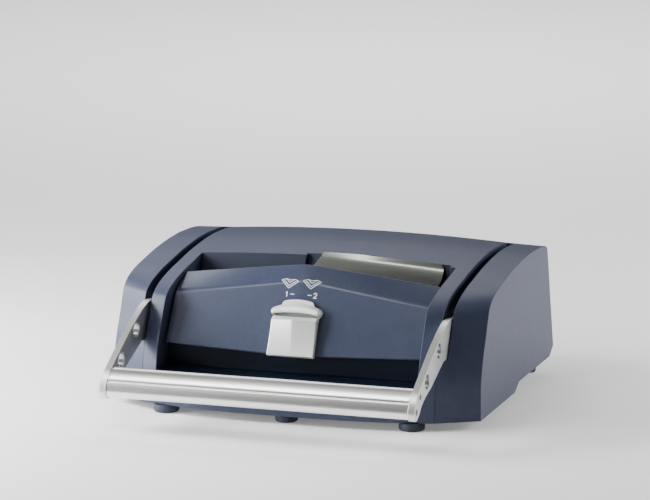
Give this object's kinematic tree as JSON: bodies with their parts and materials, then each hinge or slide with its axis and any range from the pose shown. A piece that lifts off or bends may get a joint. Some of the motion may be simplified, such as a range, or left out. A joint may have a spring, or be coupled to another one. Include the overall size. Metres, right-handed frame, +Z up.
{
  "type": "lever binding press",
  "caption": "Desktop lever binding press: crowned slate-blue casing, front tray, arched selector knob and a U handle that swings up to open the jaws.",
  "frame": {"origin": "centre of the footprint, on the surface that the feet stand on", "axes": "+X to the right as the user faces the front, +Y from the front to the back, +Z up"},
  "size_m": [0.474, 0.5026, 0.185],
  "materials": {
    "casing": "fine satin texture, dark slate blue",
    "satin_plate": "satin",
    "handle": "satin anodised",
    "steel": "zinc plated",
    "bearing": "sintered bronze",
    "knob": "silver, satin",
    "inner_plastic": "moulded",
    "feet": "matt"
  },
  "bodies": {
    "housing": {"base_tray": "casing", "top_cover": "casing", "front_panel": "casing", "guide_plate": "satin_plate", "left_cheek": "casing", "right_cheek": "casing", "left_front_foot": "feet", "right_front_foot": "feet", "middle_front_foot": "feet", "left_rear_foot": "feet", "right_rear_foot": "feet", "left_side_frame": "steel", "right_side_frame": "steel", "left_shaft_bush": "bearing", "right_shaft_bush": "bearing", "left_guide_rod": "steel", "right_guide_rod": "steel", "left_return_spring": "steel", "right_return_spring": "steel", "fixed_jaw": "steel", "rear_beam": "steel", "spine_rest": "steel", "selector_bracket": "inner_plastic"},
    "handle": {"handle_bar": "handle", "lever_shaft": "steel", "left_arm": "handle", "left_upper_arm_screw": "steel", "left_lower_arm_screw": "steel", "left_shaft_retainer": "steel", "left_press_cam": "steel", "right_arm": "handle", "right_upper_arm_screw": "steel", "right_lower_arm_screw": "steel", "right_shaft_retainer": "steel", "right_press_cam": "steel"},
    "press": {"moving_jaw": "steel", "left_push_rod": "steel", "right_push_rod": "steel"},
    "selector": {"selector_knob": "knob", "selector_spindle": "steel", "selector_gear": "inner_plastic"},
    "selector_slider": {"selector_bar": "inner_plastic"}
  },
  "joints": [
    {"name": "handle_lift", "type": "hinge", "parent": "housing", "child": "handle", "pos_m": [0, 0.12234, 0.096], "axis": [-1, 0, 0], "range_deg": [0, 96]},
    {"name": "jaw_slide", "type": "slide", "parent": "housing", "child": "press", "axis": [0, 1, 0], "range_m": [0, 0.024], "deforming": ["left_return_spring", "right_return_spring"]},
    {"name": "selector_turn", "type": "hinge", "parent": "housing", "child": "selector", "pos_m": [0, -0.10678, 0.09336], "axis": [0, -0.8902, 0.4555], "range_deg": [-25, 25]},
    {"name": "selector_bar_slide", "type": "slide", "parent": "housing", "child": "selector_slider", "axis": [1, 0, 0], "range_m": [-0.0095, 0.0095]}
  ],
  "couplings": [
    {"joint": "jaw_slide", "follows": "handle_lift", "m_per_rad": 0.0143},
    {"joint": "selector_bar_slide", "follows": "selector_turn", "m_per_rad": -0.021}
  ]
}
